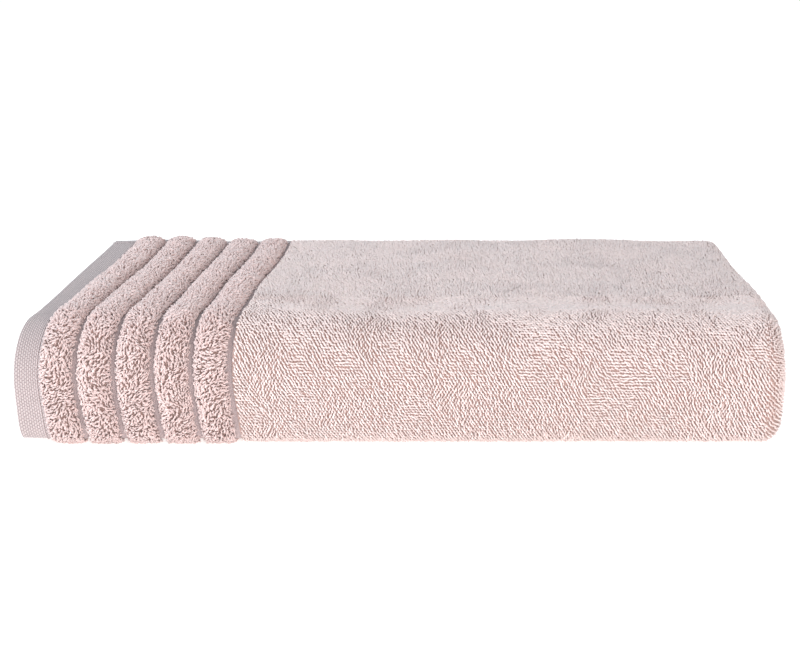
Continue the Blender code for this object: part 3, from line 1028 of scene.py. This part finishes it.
def sewSideHem(name, route, seed):
    along = np.arange(stitch["margin"], packet["middleStart"], stitch["pitch"])
    inset = packet["sideHemWidth"] - stitch["inset"]
    at = inset if route["freeEnd"] == "start" else route["length"] - inset
    hem = packet["sideHemSink"]
    frames = framesOn(lambda a, b: place(route, a, b, hem), along, np.full_like(along, at))
    return growYarn(name, frames, dict(stitch["values"], Seed=seed), sewingThread)


endSeamWrap = sewEndHem("end_hem_stitches_wrap", wrap, 51)
endSeamBase = sewEndHem("end_hem_stitches_base", base, 52)
backSeam = sewSideHem("side_hem_stitches_back_edge", wrap, 53)
tuckedSeam = sewSideHem("side_hem_stitches_tucked", base, 54)

label = {
    "sewn": 0.006,  # the length caught in the hem
    "bow": 0.0022,
    "bowTurn": 2.4,
    "wave": 0.0008,
    "waveTurn": 5.0,
    "hang": 0.985,  # height that a bowed length takes up
    "thickness": 0.0004,
    "columns": 8,
    "rows": 14,
}


def buildLabel():
    low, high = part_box("care_label")
    sewn = label["sewn"]
    drop = high.z - low.z
    path = sewn + drop
    edge = high.y - label["thickness"]
    u, v = np.meshgrid(np.linspace(0, 1, label["rows"]), np.linspace(0, 1, label["columns"]), indexing="ij")
    run = u * path
    hang = np.clip(run - sewn, 0, None)
    y = edge - np.clip(sewn - run, 0, None)
    y = y + label["bow"] * np.sin(np.clip(hang / drop, 0, 1) * label["bowTurn"])
    y = y + label["wave"] * np.sin(v * label["waveTurn"]) * hang / drop
    z = high.z - hang * label["hang"]
    x = low.x + (high.x - low.x) * v
    points = np.stack([x, y, z], axis=-1).reshape(-1, 3)
    rows, columns = u.shape
    faces = [
        (r * columns + c, r * columns + c + 1, (r + 1) * columns + c + 1, (r + 1) * columns + c)
        for r in range(rows - 1) for c in range(columns - 1)
    ]
    mesh = meshFrom("care_label_tape", points, faces, [labelTape])
    layWeave(mesh, points[:, [0, 2]])
    piece = addObject("care_label_tape", mesh)
    thick = piece.modifiers.new("thickness", "SOLIDIFY")
    thick.thickness, thick.offset = label["thickness"], 0.0
    return piece


labelPiece = buildLabel()
print("sewing and label done")


def wrapPiece(piece):
    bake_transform(piece)


def basePiece(piece):
    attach(piece, "base")


wrapPiece(wrapCloth)
basePiece(baseCloth)
for piece in yarns.values():
    wrapPiece(piece)
for piece in baseYarns.values():
    basePiece(piece)
for piece in ribs:
    wrapPiece(piece)
for piece in baseRibs:
    basePiece(piece)
wrapPiece(endSeamWrap)
wrapPiece(backSeam)
basePiece(endSeamBase)
basePiece(tuckedSeam)
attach(labelPiece, "top_third")

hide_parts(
    "terry_field_top", "terry_field_front", "border_ground_top", "border_ground_front",
    "end_hem_top", "end_hem_front", "side_hem_back_edge", "hidden_border_top", "hidden_border_front",
    "hidden_end_hem_top", "hidden_end_hem_front",
)
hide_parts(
    "terry_field_base", "border_ground_base", "end_hem_base", "side_hem_tucked",
    "hidden_border_base", "hidden_end_hem_base",
)
for number in range(1, 6):
    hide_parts(f"pile_rib_{number}_top", f"pile_rib_{number}_front")
    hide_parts(f"pile_rib_{number}_base")
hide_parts("end_hem_stitching_top", "end_hem_stitching_front")
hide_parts("end_hem_stitching_base")
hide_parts("side_hem_stitching_back_edge")
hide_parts("side_hem_stitching_tucked")
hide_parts("care_label")

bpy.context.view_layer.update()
seams = [endSeamWrap, endSeamBase, backSeam, tuckedSeam]
shown = [wrapCloth, baseCloth, *yarns.values(), *baseYarns.values(), *ribs, *baseRibs, *seams]
triangles = [sum(len(p.vertices) - 2 for p in piece.data.polygons) for piece in shown]
print("triangles", sum(triangles), "most in one piece", max(triangles))
